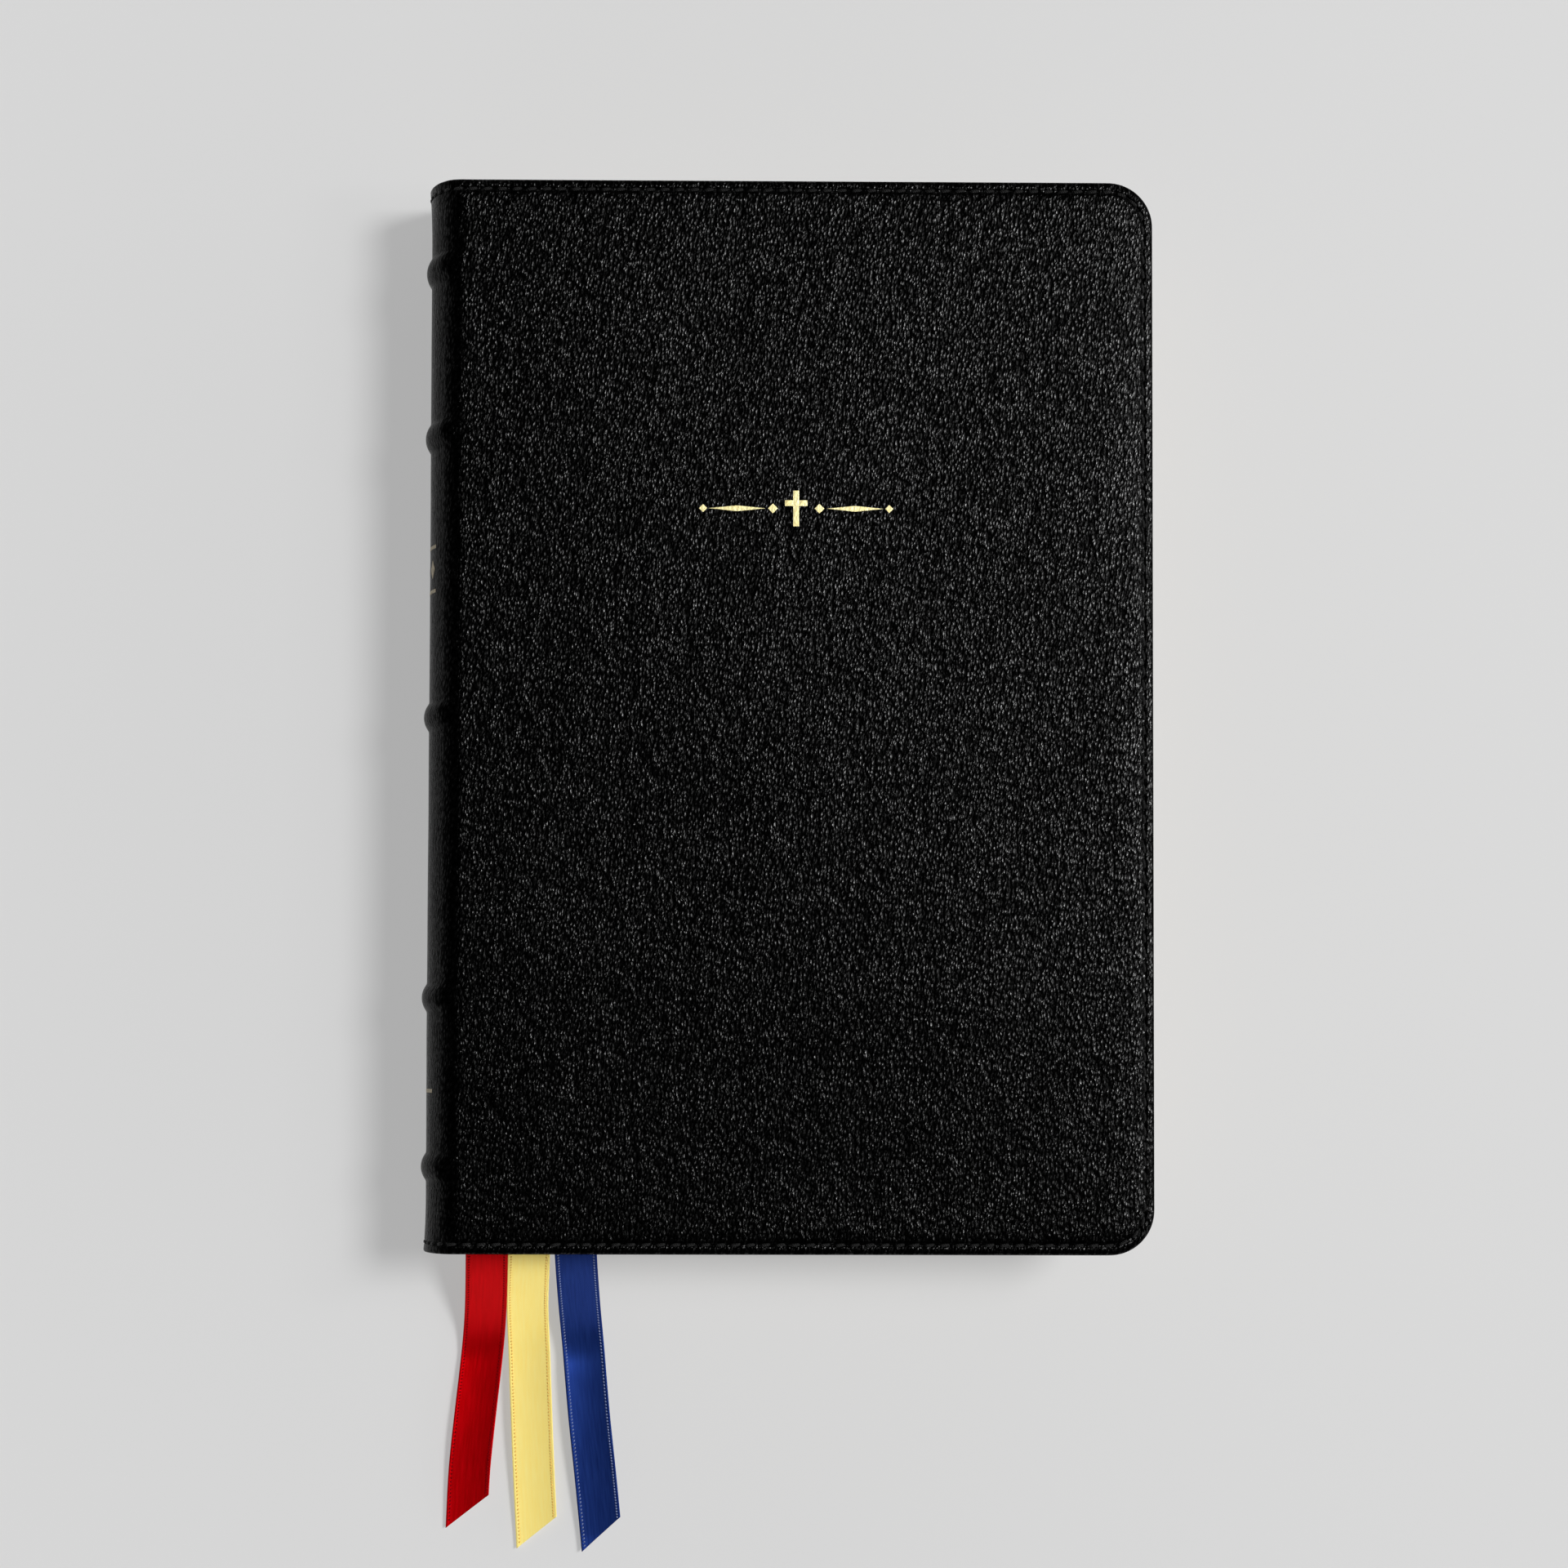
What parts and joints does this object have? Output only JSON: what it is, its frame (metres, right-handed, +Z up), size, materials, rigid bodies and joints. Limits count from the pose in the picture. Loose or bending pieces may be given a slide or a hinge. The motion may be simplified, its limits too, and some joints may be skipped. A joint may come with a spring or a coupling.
{
  "type": "bible",
  "caption": "Leather-bound book with rounded spine, raised bands, stitched limp covers, sewn page block and satin marker ribbons.",
  "frame": {"origin": "middle of the back cover leaf's outer face, on which the closed book rests", "axes": "+X towards the fore-edge, +Y towards the head, +Z up towards the front cover"},
  "size_m": [0.1636, 0.3087, 0.036],
  "materials": {
    "leather": "pebbled, semi-gloss",
    "liner_leather": "smooth satin",
    "thread": "waxed",
    "gold_foil": "stamped foil",
    "card": "matt",
    "paper": "matt, gilt edges",
    "lining_cloth": "open weave",
    "sewing_thread": "matt",
    "headband_cloth": "woven",
    "satin_red": "satin weave",
    "satin_gold": "satin weave",
    "satin_navy": "satin weave"
  },
  "bodies": {
    "back_half": {"back_half_pages": "paper", "back_flyleaf": "paper", "back_joint_leather": "leather", "ribbon_red": "satin_red", "ribbon_gold": "satin_gold", "ribbon_navy": "satin_navy"},
    "spine": {"spine_leather": "leather", "raised_bands": "card", "spine_card": "card", "spine_lining": "lining_cloth", "sewing_tapes": "lining_cloth", "sewing_thread": "sewing_thread", "headband": "headband_cloth", "tailband": "headband_cloth", "spine_stitching": "thread", "spine_ornaments": "gold_foil"},
    "front_half": {"front_joint_leather": "leather", "front_flyleaf": "paper", "front_half_pages": "paper"},
    "front_cover": {"front_cover_leather": "leather", "front_cover_card": "card", "front_cover_liner": "liner_leather", "front_cover_stitching": "thread", "cover_ornament": "gold_foil"},
    "back_cover": {"back_cover_leather": "leather", "back_cover_card": "card", "back_cover_liner": "liner_leather", "back_cover_stitching": "thread"}
  },
  "joints": [
    {"name": "spine_fold", "type": "hinge", "parent": "back_half", "child": "spine", "pos_m": [-0.0829, 0, 0.0042], "axis": [0, -1, 0], "range_deg": [0, 90]},
    {"name": "front_half_fold", "type": "hinge", "parent": "spine", "child": "front_half", "pos_m": [-0.0829, 0, 0.0318], "axis": [0, -1, 0], "range_deg": [0, 90]},
    {"name": "front_cover_hinge", "type": "hinge", "parent": "front_half", "child": "front_cover", "pos_m": [-0.0769, 0, 0.0361], "axis": [0, -1, 0], "range_deg": [0, 179]},
    {"name": "back_cover_hinge", "type": "hinge", "parent": "back_half", "child": "back_cover", "pos_m": [-0.0769, 0, -0.0016], "axis": [0, 1, 0], "range_deg": [0, 179]}
  ],
  "couplings": [
    {"joint": "front_half_fold", "follows": "spine_fold", "ratio": 1}
  ]
}
